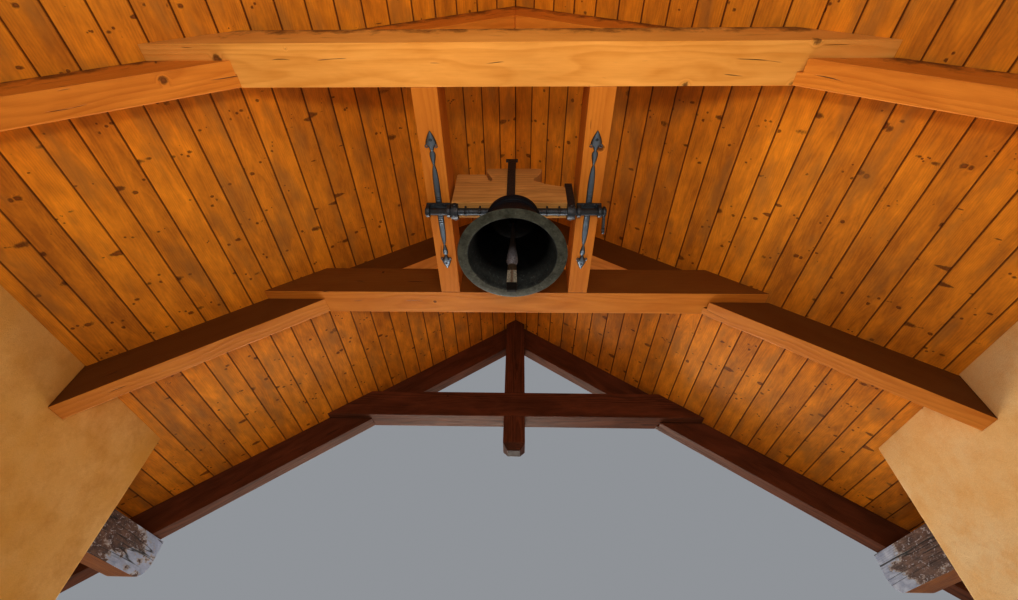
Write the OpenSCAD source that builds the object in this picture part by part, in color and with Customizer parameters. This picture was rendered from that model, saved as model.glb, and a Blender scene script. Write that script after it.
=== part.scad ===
// Timber bell canopy: an open gabled roof on two rendered walls, with a small bell swinging in it.
// Millimetres. X runs across the canopy, +Y towards the front gable, Z up.
// The origin is on the ground under the middle of the bell.

/* [Walls] */
// Clear way between the two walls
clear_width = 4050; // [3400:10:4600]
// Thickness of each rendered wall
wall_t = 460; // [400:5:600]
// Length of each wall along the canopy
wall_length = 2470; // [2000:10:3200]

/* [Roof] */
// Slope of the roof in degrees
roof_pitch = 35.5; // [32:0.5:39]
// Height of the rafters' underside where the two slopes meet
rafter_apex_z = 4138; // [4050:1:4300]
// How far the rafters run past the outer wall faces
eaves_overhang = 350; // [200:10:500]
// How far the boarding runs past the gable trusses
verge_overhang = 150; // [80:5:200]
// Thickness of the soffit boards
board_t = 20; // [16:1:30]
// Thickness of the roof covering, with its battens
covering_t = 60; // [40:1:80]
// How far the covering runs past the rafter ends
covering_drip = 40; // [10:1:80]
// Thickness of the boards that close the gable edges
verge_board_t = 25; // [18:1:35]
// How far the verge boards hang below the soffit
verge_board_drop = 60; // [30:1:90]
// Outer radius of the ridge tiles
ridge_r = 115; // [100:1:140]
// Wall thickness of the ridge tiles
ridge_t = 18; // [12:1:25]
// Gap between sloping faces that lie on each other
bed_gap = 0.2; // [0.1:0.05:0.5]

/* [Trusses] */
// Distance from one truss to the next
truss_spacing = 1190; // [1100:10:1400]
// Width of a rafter
rafter_w = 95; // [80:1:120]
// Depth of a rafter, square to the slope
rafter_d = 185; // [160:1:200]
// Width of a collar beam along the canopy
collar_w = 150; // [130:1:170]
// Height of a collar beam
collar_h = 200; // [160:1:240]
// How far the collar undersides lie below the rafters' meeting point
collar_drop = 738; // [700:1:820]
// Gap that shrinkage opened under the right-hand end of each collar
shrinkage_gap = 8; // [2:1:14]
// Width of a king post
post_w = 150; // [120:1:170]
// How far a king post hangs below its collar
post_drop = 250; // [200:5:400]
// Height of the chamfer at the foot of a king post
post_chamfer_h = 45; // [30:1:90]
// Depth of the chamfer at the foot of a king post
post_chamfer = 32; // [10:1:40]

/* [Wall plates] */
// Distance from the inner wall face to the wall plate
plate_inset = 140; // [110:1:170]
// Width of a wall plate
plate_w = 155; // [130:1:180]
// Height of a wall plate
plate_h = 215; // [180:1:240]
// How far a wall plate runs past the gable truss
plate_past = 25; // [10:1:60]
// Radius of the rounded lower corner at each plate end
plate_round = 100; // [60:1:120]
// Distance from the plate's inner edge to the start of the rafter seat
seat_inset = 12; // [5:1:30]

/* [Bell bearers] */
// Distance from the middle of the canopy to the middle of a bearer
bearer_x = 338; // [330:1:380]
// Width of a bearer
bearer_w = 100; // [90:1:110]
// Height of a bearer
bearer_h = 180; // [150:1:200]
// Length of the ornamental strap under each bearer
strap_length = 710; // [600:5:800]
// Thickness of the ornamental strap
strap_t = 6; // [4:1:8]
// Greatest width of the leaf at each end of the strap
strap_leaf_w = 42; // [34:1:50]
// Width of the strap between its leaves
strap_body_w = 24; // [18:1:30]
// Width of the strap's narrow necks
strap_neck_w = 10; // [8:1:14]
// Length of the leaf at each end of the strap
strap_leaf_l = 88; // [70:1:110]

/* [Bearings] */
// Diameter of the gudgeon that carries the bell
gudgeon_d = 32; // [26:1:38]
// Radial clearance of the gudgeon in its bearing eyes
bearing_clearance = 0.3; // [0.2:0.05:0.5]
// Thickness of the bearing plate under the strap
bearing_plate_t = 8; // [6:1:12]
// Width of the bearing plate along the canopy
bearing_plate_w = 58; // [50:1:70]
// Thickness of each bearing eye
bearing_eye_t = 16; // [12:1:20]
// Metal around the bore of a bearing eye
bearing_eye_rim = 9; // [7:1:12]
// Gap between the gudgeon and the bearing plate above it
bearing_plate_gap = 5; // [3:0.5:8]
// How far the inner bearing eye stands inside the bearer
bearing_in_past = 4; // [0:1:6]
// How far the outer bearing eye stands outside the bearer
bearing_out_past = 5; // [4:1:14]

/* [Yoke] */
// Distance from the middle of the canopy to the yoke's left end
yoke_left_x = 278; // [266:1:279]
// Distance from the middle of the canopy to the yoke's right end
yoke_right_x = 240; // [225:1:244]
// Thickness of the yoke along the canopy
yoke_t = 80; // [70:1:100]
// Height of the yoke's left wing
yoke_left_h = 265; // [220:1:280]
// Height of the yoke's right wing
yoke_right_h = 176; // [150:1:200]
// Height of the yoke's raised middle
yoke_middle_h = 327; // [300:1:350]
// Half width of the yoke's raised middle
yoke_middle_x = 118; // [100:1:130]
// Radius of the scroll on each shoulder of the yoke
yoke_scroll_r = 17; // [12:1:22]
// How deep the gudgeon is let into the yoke
gudgeon_inlet = 5; // [3:1:10]
// Thickness of the iron block let into the yoke's left end
left_block_t = 30; // [20:1:36]
// Thickness of the iron block on the yoke's right end
right_block_t = 34; // [24:1:35]
// Width of the two iron blocks
end_block_w = 70; // [50:1:70]
// How far the left block reaches above the yoke's underside
left_block_rise = 24; // [16:1:60]
// How far the right block reaches above the right wing
right_block_past = 8; // [2:1:20]
// How far the two hanger straps stand left of the middle
hanger_x = 13; // [0:1:25]
// Width of the two hanger straps
hanger_w = 38; // [30:1:56]
// Thickness of the two hanger straps
hanger_t = 10; // [8:1:14]
// How far a hanger strap rises above the yoke
hanger_past = 84; // [40:1:100]
// Length of the cross head on top of a hanger strap
hanger_head_l = 60; // [50:1:90]
// Height of the cross head on top of a hanger strap
hanger_head_h = 20; // [12:1:26]

/* [Rope lever] */
// Length of the rope lever from the gudgeon to its eye
lever_length = 82; // [70:1:130]
// Thickness of the rope lever
lever_t = 11; // [9:1:16]
// Width of the rope lever
lever_w = 22; // [18:1:28]
// Angle of the rope lever below the level
lever_fall = 28; // [10:1:45]
// Diameter of the eye at the end of the rope lever
lever_eye_d = 33; // [28:1:40]
// Diameter of the rope hole in that eye
rope_hole_d = 13; // [10:1:16]
// Diameter of the lever's hub on the gudgeon
lever_hub_d = 48; // [44:1:54]
// Running gap between the outer bearing eyes and what turns beside them
lever_gap = 6; // [5:0.5:10]
// How far the gudgeon ends stand out past what they carry
gudgeon_past = 4; // [2:1:10]

/* [Bell] */
// Diameter of the bell's mouth
mouth_d = 438; // [400:1:450]
// Height of the bell from its mouth to its shoulder
bell_h = 275; // [255:1:280]
// Diameter of the bell at its shoulder
shoulder_d = 234; // [200:1:250]
// Thickness of the bell's waist
bell_wall = 9; // [7:1:12]
// Thickness of the bell's lip across its mouth
lip_t = 45; // [38:1:50]
// Height of the bell's domed head above the shoulder
head_h = 28; // [20:1:30]
// Height of the crown that joins the bell to the yoke
crown_h = 38; // [30:1:50]
// Length of the crown block along the gudgeon
crown_w = 58; // [46:1:62]
// Gap between the crown block and the ends of the gudgeons
crown_gap = 4; // [2:1:8]
// Thickness of the two lugs that hold the clapper's pin
lug_t = 8; // [6:1:10]
// Distance between those lugs
lug_gap = 20; // [18:1:24]

/* [Clapper] */
// Depth of the clapper's pivot below the bell's inner head
pivot_drop = 60; // [50:1:68]
// Distance from the clapper's pivot to the middle of its ball
clapper_length = 248; // [235:1:250]
// Diameter of the clapper's ball
ball_d = 44; // [38:1:48]
// Diameter of the clapper's shaft
clapper_shaft_d = 16; // [12:1:18]
// Length of the flat flight below the ball
flight_length = 190; // [150:1:200]
// Width of the flight across the canopy
flight_w = 38; // [30:1:46]
// Thickness of the flight
flight_t = 12; // [10:1:14]
// Diameter of the clapper's pivot pin
pivot_d = 12; // [10:1:14]
// Metal around the pin in the clapper's eye
clapper_eye_rim = 9; // [7:1:11]
// Gap between the clapper's eye and each lug
clapper_side_gap = 2; // [1:0.5:3]

/* [Hidden] */
TRUSSES = [1, 2, 3, 4];
SIDES = ["left", "right"];

$fn = 64;
slope = tan(roof_pitch);
rise = 1 / cos(roof_pitch);

// Places across the canopy
wall_in_x = clear_width / 2;
wall_out_x = wall_in_x + wall_t;
eaves_x = wall_out_x + eaves_overhang;
covering_x = eaves_x + covering_drip;
plate_in_x = wall_in_x + plate_inset;
plate_out_x = plate_in_x + plate_w;

// Places along the canopy, from the rear gable truss to the front one
bearer_end_y = (truss_spacing - collar_w) / 2;
gable_y = bearer_end_y + collar_w + truss_spacing;
FLUSH_Y = [-gable_y, -bearer_end_y, bearer_end_y + collar_w, gable_y];
PROUD_SIDE = [1, -1, -1, -1];
lap_d = rafter_w / 2;
roof_end_y = gable_y + verge_overhang;
plate_end_y = gable_y + plate_past;
wall_end_y = wall_length / 2;

// Heights
soffit_apex_z = rafter_apex_z + rafter_d * rise;
boards_low_z = soffit_apex_z + bed_gap;
boards_apex_z = soffit_apex_z + board_t * rise;
covering_apex_z = boards_apex_z + covering_t * rise;
plate_top_z = rafter_apex_z - slope * (plate_in_x + seat_inset);
plate_z = plate_top_z - plate_h;
collar_z = rafter_apex_z - collar_drop;
collar_top_z = collar_z + collar_h;
post_foot_z = collar_z - post_drop;
strap_z = collar_z - strap_t;
bearing_plate_z = strap_z - bearing_plate_t;
gudgeon_r = gudgeon_d / 2;
bore_r = gudgeon_r + bearing_clearance;
gudgeon_z = bearing_plate_z - gudgeon_r - bearing_plate_gap;
yoke_z = gudgeon_z + gudgeon_r - gudgeon_inlet;
yoke_right_top_z = yoke_z + yoke_right_h;
yoke_top_z = yoke_z + yoke_middle_h;
shoulder_r = shoulder_d / 2;
mouth_r = mouth_d / 2;
head_top_z = yoke_z - crown_h;
mouth_z = head_top_z - head_h - bell_h;
pivot_z = head_top_z - bell_wall - pivot_drop;
ball_z = pivot_z - clapper_length;
flight_end_z = ball_z - flight_length;

// Heights of the sloping planes at a distance x from the middle
function under_z(x) = rafter_apex_z - slope * x;
function soffit_z(x) = soffit_apex_z - slope * x;
function covering_z(x) = covering_apex_z - slope * x;
function soffit_x(z) = (soffit_apex_z - z) / slope;

// Extrudes an outline drawn in X and Z from y0 to y1
module along_y(y0, y1) translate([0, y1, 0]) rotate([90, 0, 0]) linear_extrude(y1 - y0) children();

// Extrudes an outline drawn in Y and Z from x0 to x1
module along_x(x0, x1) translate([x0, 0, 0]) rotate([90, 0, 90]) linear_extrude(x1 - x0) children();

// Draws the right-hand piece as it is, and mirrors it for the left
module on_side(side) mirror([side == "left" ? 1 : 0, 0, 0]) children();

// Y range of a layer of truss t that lies between two depths from its flush face
function layer_y(t, d0, d1) =
  let (f = FLUSH_Y[t - 1], p = PROUD_SIDE[t - 1]) [min(f + p * d0, f + p * d1), max(f + p * d0, f + p * d1)];

module truss_layer(t, d0, d1) along_y(layer_y(t, d0, d1)[0], layer_y(t, d0, d1)[1]) children();

function has_post(t) = t == 1 || t == 4;

// Sloping strip of roof from x0 to x1, between two heights at the middle
module roof_strip(x0, x1, low_apex, high_apex)
  polygon([
    [x0, low_apex - slope * x0], [x1, low_apex - slope * x1],
    [x1, high_apex - slope * x1], [x0, high_apex - slope * x0]
  ]);

/* Walls */

module plate_bed() translate([plate_in_x, plate_z]) square([plate_w, plate_h]);

module wall(side) color("#e0a84f") on_side(side) difference() {
  along_y(-wall_end_y, wall_end_y)
    polygon([
      [wall_in_x, 0], [wall_out_x, 0],
      [wall_out_x, soffit_z(wall_out_x)], [wall_in_x, soffit_z(wall_in_x)]
    ]);
  along_y(-wall_end_y - 1, wall_end_y + 1) plate_bed();
  for (t = [2, 3]) truss_layer(t, 0, rafter_w)
    roof_strip(wall_in_x - 1, wall_out_x + 1, rafter_apex_z, soffit_apex_z + 1);
}

module wall_plate(side) color("#8a5a35") on_side(side) intersection() {
  along_y(-plate_end_y, plate_end_y) plate_bed();
  along_x(plate_in_x - 1, plate_out_x + 1) plate_profile();
}

// Side view of a wall plate, square at the top and rounded at both lower corners
module plate_profile() {
  low_y = plate_end_y - plate_round;
  translate([-plate_end_y, plate_z + plate_round]) square([2 * plate_end_y, plate_h - plate_round]);
  translate([-low_y, plate_z]) square([2 * low_y, plate_h]);
  for (y = [-low_y, low_y]) translate([y, plate_z + plate_round]) circle(plate_round);
}

/* Trusses */

module rafter_outline(t) {
  foot_x = has_post(t) ? post_w / 2 : 0;
  polygon([
    [foot_x, under_z(foot_x)], [plate_in_x + seat_inset, plate_top_z], [plate_out_x, plate_top_z],
    [plate_out_x, under_z(plate_out_x)], [eaves_x, under_z(eaves_x)], [eaves_x, soffit_z(eaves_x)],
    [foot_x, soffit_z(foot_x)]
  ]);
}

module rafter(side, t) color("#a35a22") on_side(side) difference() {
  truss_layer(t, 0, rafter_w) rafter_outline(t);
  truss_layer(t, lap_d, rafter_w + 1) collar_band(side == "right" ? shrinkage_gap : 0);
}

// The height that a collar takes up, out to where the rafters lie lower
module collar_band(gap) translate([0, collar_z - gap]) square([plate_in_x, collar_h + gap]);

module collar_outline()
  polygon([
    [-soffit_x(collar_top_z), collar_top_z], [-soffit_x(collar_z), collar_z],
    [soffit_x(collar_z), collar_z], [soffit_x(collar_top_z), collar_top_z]
  ]);

module collar(t) color("#b4692b") difference() {
  truss_layer(t, 0, collar_w) collar_outline();
  for (side = SIDES) on_side(side)
    truss_layer(t, -1, lap_d) roof_strip(0, plate_in_x, rafter_apex_z - bed_gap, soffit_apex_z + 1);
  if (has_post(t)) truss_layer(t, -1, collar_w / 2)
    translate([-post_w / 2, collar_z - 1]) square([post_w, collar_h + 2]);
}

module king_post(t) color("#6b3a1c") difference() {
  truss_layer(t, 0, collar_w)
    polygon([
      [-post_w / 2, post_foot_z], [post_w / 2, post_foot_z], [post_w / 2, soffit_z(post_w / 2)],
      [0, soffit_apex_z], [-post_w / 2, soffit_z(post_w / 2)]
    ]);
  truss_layer(t, collar_w / 2, collar_w + 1)
    translate([-post_w / 2 - 1, collar_z]) square([post_w + 2, collar_h]);
  for (s = [-1, 1]) truss_layer(t, -1, collar_w + 1)
    foot_chamfer(s * post_w / 2, s);
  for (s = [-1, 1]) along_x(-post_w, post_w)
    foot_chamfer(layer_y(t, 0, collar_w)[s < 0 ? 0 : 1], s);
}

// Triangle that cuts the chamfer at one side of a king post's foot
module foot_chamfer(edge, s)
  polygon([
    [edge - s * post_chamfer, post_foot_z], [edge, post_foot_z + post_chamfer_h],
    [edge + s, post_foot_z + post_chamfer_h], [edge + s, post_foot_z - 1],
    [edge - s * post_chamfer, post_foot_z - 1]
  ]);

/* Roof */

module boarding(side) color("#c06a24") on_side(side)
  along_y(-roof_end_y, roof_end_y) roof_strip(0, eaves_x, boards_low_z, boards_apex_z);

module roofing(side) color("#9a4a36") on_side(side)
  along_y(-roof_end_y, roof_end_y) roof_strip(0, covering_x, boards_apex_z + bed_gap, covering_apex_z);

module verge_board(side, end) color("#8a5426") on_side(side)
  mirror([0, end == "rear" ? 1 : 0, 0]) along_y(roof_end_y, roof_end_y + verge_board_t)
    roof_strip(0, covering_x, soffit_apex_z - verge_board_drop * rise, covering_apex_z);

module ridge_tiles() color("#9a4a36") along_y(-roof_end_y, roof_end_y) difference() {
  translate([0, ridge_axis_z()]) circle(ridge_r);
  translate([0, ridge_axis_z()]) circle(ridge_r - ridge_t);
  translate([0, bed_gap])
    polygon([
      [-2 * ridge_r, covering_z(2 * ridge_r)], [0, covering_apex_z], [2 * ridge_r, covering_z(2 * ridge_r)],
      [2 * ridge_r, covering_z(4 * ridge_r)], [-2 * ridge_r, covering_z(4 * ridge_r)]
    ]);
}

// The ridge tiles' axis lies where their outer edge meets the covering a quarter circle down
function ridge_axis_z() = covering_apex_z - slope * ridge_r;

/* Bell bearers */

module bearer(side) color("#c27a34") on_side(side) along_y(-bearer_end_y, bearer_end_y)
  translate([bearer_x - bearer_w / 2, collar_z]) square([bearer_w, bearer_h]);

// Half width of the strap at a distance y from its middle: a spindle, then a pointed leaf
strap_body_l = strap_length / 2 - strap_leaf_l;
leaf_curve = 1.2;
function spindle_half_w(u) = strap_neck_w / 2 + (strap_body_w - strap_neck_w) / 2 * pow(sin(180 * u), 2);
function leaf_half_w(u) =
  strap_neck_w / 2 * (1 - u) + (strap_leaf_w - strap_neck_w / 2) / 2 * pow(sin(180 * u), leaf_curve);
function strap_half_w(y) =
  y <= strap_body_l ? spindle_half_w(y / strap_body_l) : leaf_half_w((y - strap_body_l) / strap_leaf_l);

module strap_outline() {
  steps = 26;
  ys = [for (i = [1 - steps : steps - 1]) i / steps * strap_length / 2];
  polygon([
    [0, -strap_length / 2], for (y = ys) [strap_half_w(abs(y)), y],
    [0, strap_length / 2], for (i = [len(ys) - 1 : -1 : 0]) [-strap_half_w(abs(ys[i])), ys[i]]
  ]);
}

module strap(side) color("#2b2a2c") on_side(side)
  translate([bearer_x, 0, strap_z]) linear_extrude(strap_t) strap_outline();

/* Bearings */

eye_r = bore_r + bearing_eye_rim;
eye_in_x = bearer_x - bearer_w / 2 - bearing_in_past;
eye_out_x = bearer_x + bearer_w / 2 + bearing_out_past;

module bearing(side) color("#1f1f21") on_side(side) difference() {
  union() {
    translate([eye_in_x, -bearing_plate_w / 2, bearing_plate_z])
      cube([eye_out_x - eye_in_x, bearing_plate_w, bearing_plate_t]);
    for (x = [eye_in_x, eye_out_x - bearing_eye_t]) along_x(x, x + bearing_eye_t) {
      translate([0, gudgeon_z]) circle(eye_r);
      translate([-eye_r, gudgeon_z]) square([2 * eye_r, bearing_plate_z - gudgeon_z]);
    }
  }
  gudgeon_rod(eye_in_x - 1, eye_out_x + 1, bore_r);
}

module gudgeon_rod(x0, x1, r) along_x(x0, x1) translate([0, gudgeon_z]) circle(r);

/* Yoke */

module yoke_outline() difference() {
  union() {
    translate([-yoke_left_x, yoke_z]) square([yoke_left_x, yoke_left_h]);
    translate([0, yoke_z]) square([yoke_right_x, yoke_right_h]);
    translate([-yoke_middle_x, yoke_z]) square([2 * yoke_middle_x, yoke_middle_h - yoke_scroll_r]);
    translate([-yoke_middle_x + yoke_scroll_r, yoke_z])
      square([2 * (yoke_middle_x - yoke_scroll_r), yoke_middle_h]);
    for (s = [-1, 1]) translate([s * (yoke_middle_x - yoke_scroll_r), yoke_top_z - yoke_scroll_r])
      circle(yoke_scroll_r);
  }
  shoulder_cove(-1, yoke_z + yoke_left_h);
  shoulder_cove(1, yoke_right_top_z);
}

// Round hollow where a wing of the yoke meets its raised middle, placed by shares of its own radius
cove_out = 0.4;
cove_up = 0.6;
module shoulder_cove(s, wing_top_z)
  translate([s * (yoke_middle_x + yoke_scroll_r * cove_out), wing_top_z + yoke_scroll_r * cove_up])
    circle(yoke_scroll_r);

module yoke() color("#a4713d") difference() {
  along_y(-yoke_t / 2, yoke_t / 2) yoke_outline();
  gudgeon_rod(-yoke_left_x - 1, yoke_right_x + 1, gudgeon_r);
  translate([-yoke_left_x - 1, -yoke_t / 2 - 1, yoke_z - 1])
    cube([left_block_t + 1, yoke_t + 2, left_block_rise + 1]);
}

tang_in_x = crown_w / 2 + crown_gap;
lever_x = eye_out_x + lever_gap;
left_end_x = eye_out_x + gudgeon_past;
right_end_x = lever_x + lever_t + gudgeon_past;

// Gudgeon of one side: a rod under the yoke, and a block at its end, round below
module gudgeon(side) color("#222124") on_side(side) {
  is_right = side == "right";
  block_x = is_right ? yoke_right_x : yoke_left_x - left_block_t;
  block_t = is_right ? right_block_t : left_block_t;
  block_rise = is_right ? yoke_right_h + right_block_past : left_block_rise;
  gudgeon_rod(tang_in_x, is_right ? right_end_x : left_end_x, gudgeon_r);
  along_x(block_x, block_x + block_t) {
    translate([-end_block_w / 2, gudgeon_z]) square([end_block_w, yoke_z + block_rise - gudgeon_z]);
    translate([0, gudgeon_z]) circle(end_block_w / 2);
  }
}

module hanger(end) color("#1c1c1e") mirror([0, end == "rear" ? 1 : 0, 0])
  along_y(yoke_t / 2, yoke_t / 2 + hanger_t) translate([-hanger_x, 0]) {
    hanger_top_z = yoke_top_z + hanger_past;
    translate([-hanger_w / 2, head_top_z]) square([hanger_w, hanger_top_z - head_top_z]);
    translate([-hanger_head_l / 2, hanger_top_z - hanger_head_h]) square([hanger_head_l, hanger_head_h]);
  }

module lever_layer(x0, x1)
  translate([0, 0, gudgeon_z]) rotate([-lever_fall, 0, 0]) along_x(x0, x1) children();

module rope_lever() color("#1c1c1e") difference() {
  lever_layer(lever_x, lever_x + lever_t) {
    circle(d = lever_hub_d);
    translate([0, -lever_w / 2]) square([lever_length, lever_w]);
    translate([lever_length, 0]) circle(d = lever_eye_d);
  }
  gudgeon_rod(lever_x - 1, lever_x + lever_t + 1, gudgeon_r);
  lever_layer(lever_x - 1, lever_x + lever_t + 1) translate([lever_length, 0]) circle(d = rope_hole_d);
}

/* Bell */

// Radius of the bell at a share u of its height: the waist flares slowly, and the lip thickens near the mouth
waist_curve = 2.2;
lip_curve = 6;
function bell_out_r(u) = shoulder_r + (mouth_r - shoulder_r) * pow(1 - u, waist_curve);
function bell_in_r(u) = bell_out_r(u) - bell_wall - (lip_t - bell_wall) * pow(1 - u, lip_curve);

// Half section of the bell's body: up the outside, over the head, and down the inside
module bell_section() {
  steps = 14;
  turn = 6;
  outside = [for (i = [0 : steps]) let (u = i / steps) [bell_out_r(u), bell_h * u]];
  inside = [for (i = [steps : -1 : 0]) let (u = i / steps) [bell_in_r(u), bell_h * u]];
  head_out = [for (i = [1 : turn]) let (a = 90 * i / turn) [shoulder_r * cos(a), bell_h + head_h * sin(a)]];
  head_in = [for (i = [turn : -1 : 1]) let (a = 90 * i / turn)
    [(shoulder_r - bell_wall) * cos(a), bell_h + (head_h - bell_wall) * sin(a)]];
  polygon(concat(outside, head_out, head_in, inside));
}

module bell() color("#3a3b36") {
  translate([0, 0, mouth_z]) rotate_extrude($fn = 96) bell_section();
  translate([-crown_w / 2, -yoke_t / 2, head_top_z - bell_wall / 2])
    cube([crown_w, yoke_t, crown_h + bell_wall / 2]);
  for (side = SIDES) on_side(side) along_x(lug_gap / 2, lug_gap / 2 + lug_t) {
    translate([0, pivot_z]) circle(pivot_d);
    translate([-pivot_d, pivot_z]) square([2 * pivot_d, pivot_drop + bell_wall / 2]);
  }
  along_x(-lug_gap / 2 - 1, lug_gap / 2 + 1) translate([0, pivot_z]) circle(pivot_d / 2);
}

/* Clapper */

// The flight starts narrow in the ball and widens to a shoulder, as shares of its width and length
flight_neck = 0.22;
flight_shoulder = 0.45;
clapper_eye_x = lug_gap / 2 - clapper_side_gap;
clapper_bore_r = pivot_d / 2 + bearing_clearance;
flight_shoulder_z = ball_z - flight_length * flight_shoulder;
flight_neck_x = flight_w * flight_neck;

module clapper() color("#3b3330") {
  difference() {
    along_x(-clapper_eye_x, clapper_eye_x) translate([0, pivot_z]) circle(clapper_bore_r + clapper_eye_rim);
    along_x(-clapper_eye_x - 1, clapper_eye_x + 1) translate([0, pivot_z]) circle(clapper_bore_r);
  }
  translate([0, 0, ball_z])
    cylinder(d = clapper_shaft_d, h = clapper_length - clapper_bore_r - clapper_eye_rim / 2);
  translate([0, 0, ball_z]) sphere(d = ball_d);
  along_y(-flight_t / 2, flight_t / 2)
    polygon([
      [-flight_neck_x, ball_z], [flight_neck_x, ball_z], [flight_w / 2, flight_shoulder_z],
      [flight_w / 2, flight_end_z], [-flight_w / 2, flight_end_z], [-flight_w / 2, flight_shoulder_z]
    ]);
}

/* Assembly */

for (s = SIDES) {
  wall(s);
  wall_plate(s);
  boarding(s);
  roofing(s);
  bearer(s);
  strap(s);
  bearing(s);
  gudgeon(s);
}
for (s = SIDES) for (t = TRUSSES) rafter(s, t);
for (t = TRUSSES) collar(t);
for (t = [1, 4]) king_post(t);
for (s = SIDES) for (e = ["rear", "front"])
  verge_board(s, e);
for (e = ["rear", "front"]) hanger(e);
ridge_tiles();
yoke();
rope_lever();
bell();
clapper();
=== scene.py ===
import math
from functools import partial

import bmesh
import bpy
import numpy as np
from mathutils import Matrix, Vector


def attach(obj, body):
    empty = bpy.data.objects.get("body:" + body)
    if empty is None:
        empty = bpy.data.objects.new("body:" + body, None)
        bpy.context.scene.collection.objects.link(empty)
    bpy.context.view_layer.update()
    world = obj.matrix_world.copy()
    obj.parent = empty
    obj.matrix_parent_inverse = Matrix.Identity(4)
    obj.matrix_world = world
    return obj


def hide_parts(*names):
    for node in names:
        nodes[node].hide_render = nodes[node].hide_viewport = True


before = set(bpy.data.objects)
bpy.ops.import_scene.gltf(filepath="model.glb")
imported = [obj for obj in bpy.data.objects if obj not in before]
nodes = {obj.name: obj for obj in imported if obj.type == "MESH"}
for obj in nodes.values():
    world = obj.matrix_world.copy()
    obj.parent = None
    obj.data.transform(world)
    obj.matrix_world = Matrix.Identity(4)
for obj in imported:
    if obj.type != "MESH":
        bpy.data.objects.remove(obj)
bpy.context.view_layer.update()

# Places from the part's source, in metres

PITCH = math.radians(35.5)
RISE = 1 / math.cos(PITCH)
RAFTER_APEX = 4.138
RAFTER_DEPTH = 0.185
SOFFIT_APEX = RAFTER_APEX + RAFTER_DEPTH * RISE
BOARD_T = 0.020
COVERING_T = 0.060
EAVES_X = 2.835
COVERING_X = 2.875
ROOF_END_Y = 2.010
COLLAR_Z = 3.400
COLLAR_H = 0.200
TRUSS_STEP = 1.190
BEARER_X = 0.338
GUDGEON_Z = 3.365
YOKE_Z = 3.376
MOUTH_Z = 3.035
BELL_H = 0.275
SHOULDER_R = 0.117
MOUTH_R = 0.219
BELL_WALL = 0.009
LIP_T = 0.045
HEAD_H = 0.028
PIVOT_Z = 3.269
BALL_Z = 3.021
JOINT_END_Z = 2.944
FLIGHT_END_Z = 2.831

# Real sizes of boards, tiles and battens, in metres

BOARD_COVER = 0.116
TILE_GAUGE = 0.100
TILE_W = 0.165
TILE_L = 0.265
TILE_T = 0.011
BATTEN_H = 0.018

MERGE = 0.00002
SIDES = ("left", "right")
rng = np.random.default_rng(7)


# Modelling helpers

def take(piece):
    """Selects one piece alone and makes it the active one."""
    bpy.ops.object.select_all(action="DESELECT")
    bpy.context.view_layer.objects.active = piece
    piece.select_set(True)


def start(primitive, name, **settings):
    """Adds a primitive with nothing else selected, and returns it with its place in its mesh."""
    bpy.ops.object.select_all(action="DESELECT")
    getattr(bpy.ops.mesh, f"primitive_{primitive}_add")(**settings)
    piece = bpy.context.object
    piece.name = piece.data.name = name
    bpy.ops.object.transform_apply(location=True, rotation=True, scale=True)
    return piece


def block(name, low, high):
    """A block between two corners, as a start for shaping."""
    centre = [(a + b) / 2 for a, b in zip(low, high)]
    return start("cube", name, size=1, location=centre, scale=[b - a for a, b in zip(low, high)])


def shape(piece, *steps):
    """Runs edit-mode steps on a piece. A step is (what to select, test of it, operator, its settings)."""
    take(piece)
    bpy.ops.object.mode_set(mode="EDIT")
    for kind, test, operator, settings in steps:
        bpy.ops.mesh.select_mode(type=kind)
        bpy.ops.mesh.select_all(action="DESELECT")
        mesh = bmesh.from_edit_mesh(piece.data)
        for part in {"VERT": mesh.verts, "EDGE": mesh.edges, "FACE": mesh.faces}[kind]:
            part.select_set(bool(test(part)))
        mesh.select_flush_mode()
        bmesh.update_edit_mesh(piece.data)
        getattr(bpy.ops.mesh, operator)(**settings)
    bpy.ops.object.mode_set(mode="OBJECT")
    return piece


def everything(part):
    return True


def middle(edge):
    return (edge.verts[0].co + edge.verts[1].co) / 2


def along(edge, axis):
    """True for an edge that runs along an axis."""
    run = edge.verts[1].co - edge.verts[0].co
    return abs(run[axis]) > 0.99 * run.length


MERGE_DOUBLES = ("VERT", everything, "remove_doubles", dict(threshold=MERGE))
FACE_OUTWARDS = ("FACE", everything, "normals_make_consistent", dict(inside=False))


def modify(piece, kind, **settings):
    """Adds a modifier to a piece and applies it."""
    take(piece)
    modifier = piece.modifiers.new(kind.lower(), kind)
    for key, value in settings.items():
        setattr(modifier, key, value)
    bpy.ops.object.modifier_apply(modifier=modifier.name)
    return piece


def repeated(piece, count, step):
    """Lays a number of copies of a piece in a row, a step apart."""
    return modify(piece, "ARRAY", count=count, use_relative_offset=False, use_constant_offset=True,
                  constant_offset_displace=step)


def rounded(piece, width, degrees):
    """Rounds the edges of a piece where its faces meet at more than an angle."""
    return modify(piece, "BEVEL", width=width, segments=2, limit_method="ANGLE",
                  angle_limit=math.radians(degrees))


def cut(piece, point, normal):
    """Cuts off what lies on the far side of a plane and closes the cut."""
    return shape(piece, ("FACE", everything, "bisect", dict(
        plane_co=point, plane_no=normal, use_fill=True, clear_outer=True)))


def smooth(piece, degrees=35):
    """Smooth shading, with creases where faces meet at more than an angle."""
    take(piece)
    bpy.ops.object.shade_smooth_by_angle(angle=math.radians(degrees))
    return piece


def copied(piece, name):
    """A copy with its own mesh."""
    twin = piece.copy()
    twin.data = piece.data.copy()
    twin.name = twin.data.name = name
    bpy.context.scene.collection.objects.link(twin)
    return twin


def other_side(piece, name):
    """A copy on the other side of the canopy."""
    twin = copied(piece, name)
    twin.data.transform(Matrix.Scale(-1, 4, (1, 0, 0)))
    twin.data.flip_normals()
    return twin


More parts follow.
